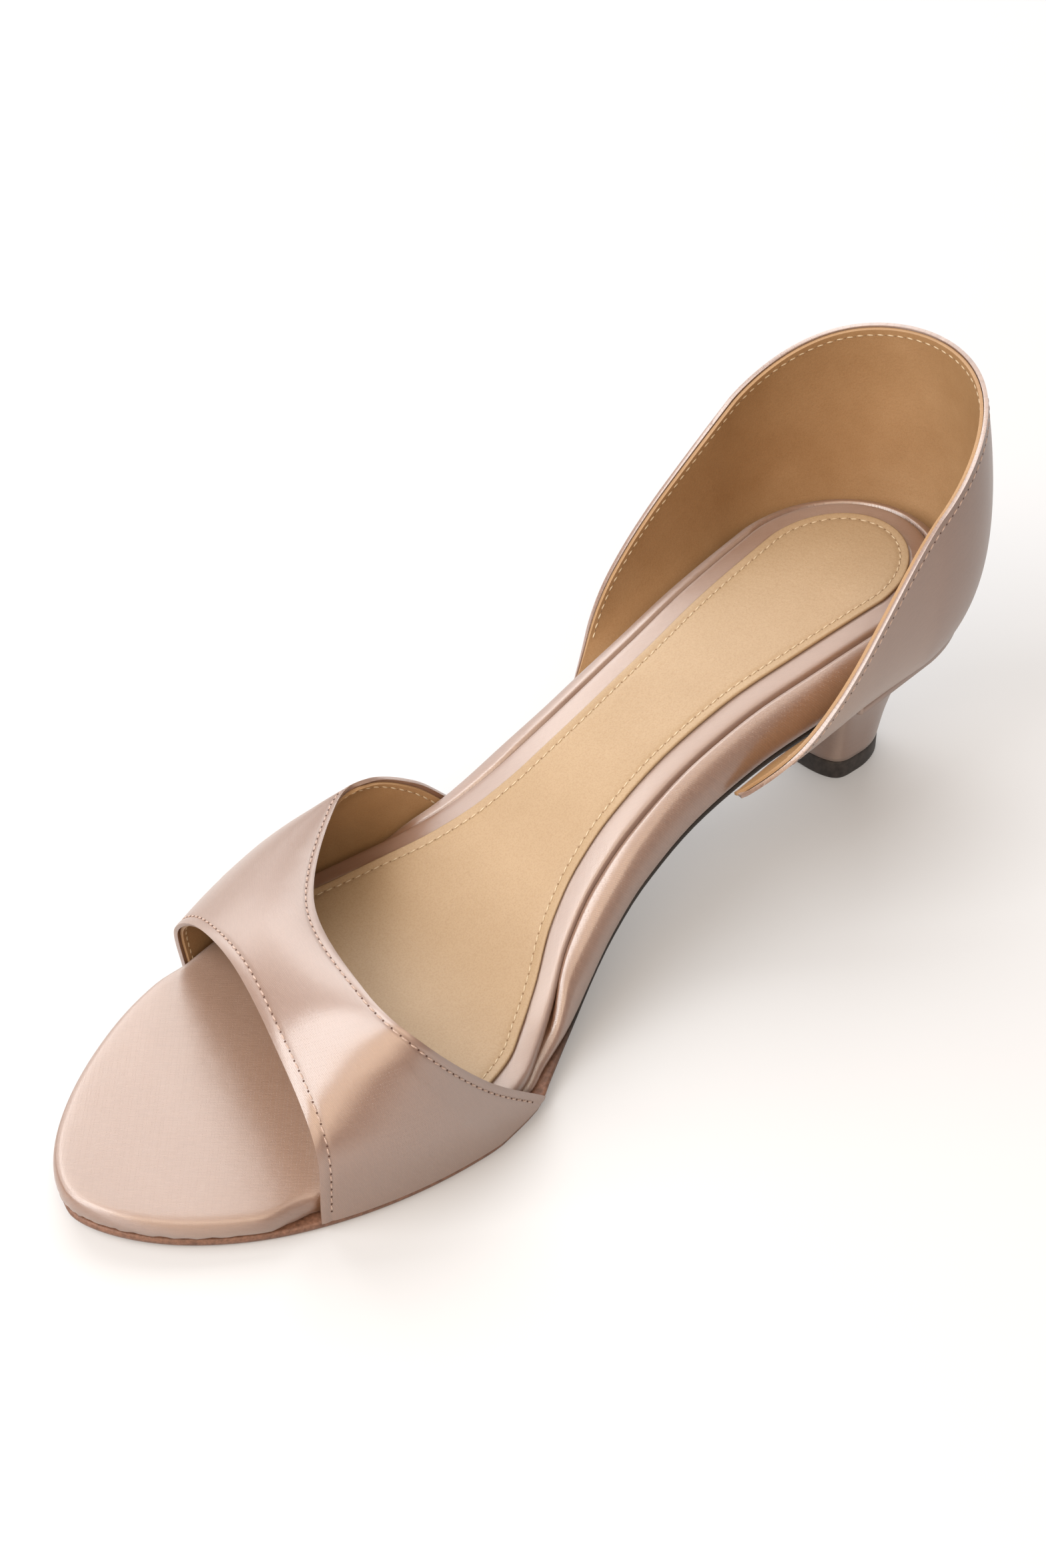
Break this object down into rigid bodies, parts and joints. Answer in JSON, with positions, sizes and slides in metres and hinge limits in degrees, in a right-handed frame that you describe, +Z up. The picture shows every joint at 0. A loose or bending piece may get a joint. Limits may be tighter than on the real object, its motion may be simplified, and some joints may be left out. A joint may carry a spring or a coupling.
{
  "type": "heeled open-toe sandal",
  "caption": "Right-foot satin heeled sandal with an open toe, an asymmetric vamp strap, a closed heel quarter, a leather sock on a padded footbed and a slim covered heel",
  "frame": {"origin": "on the floor under the middle of the sandal's box", "axes": "+X towards the toe, +Y towards the medial (left) side, +Z up"},
  "size_m": [0.2426, 0.0866, 0.0993],
  "materials": {
    "satin": "blush duchesse satin with a soft sheen",
    "tan_leather": "smooth tan lining leather",
    "sole_leather": "brown waxed sole leather",
    "top_piece": "dark matte rubber top piece"
  },
  "bodies": {
    "root": {"outsole": "sole_leather", "board": "satin", "footbed": "satin", "sock": "tan_leather", "vamp_strap": "satin", "heel_quarter": "satin", "heel": "satin", "heel_tip": "top_piece"}
  },
  "joints": []
}
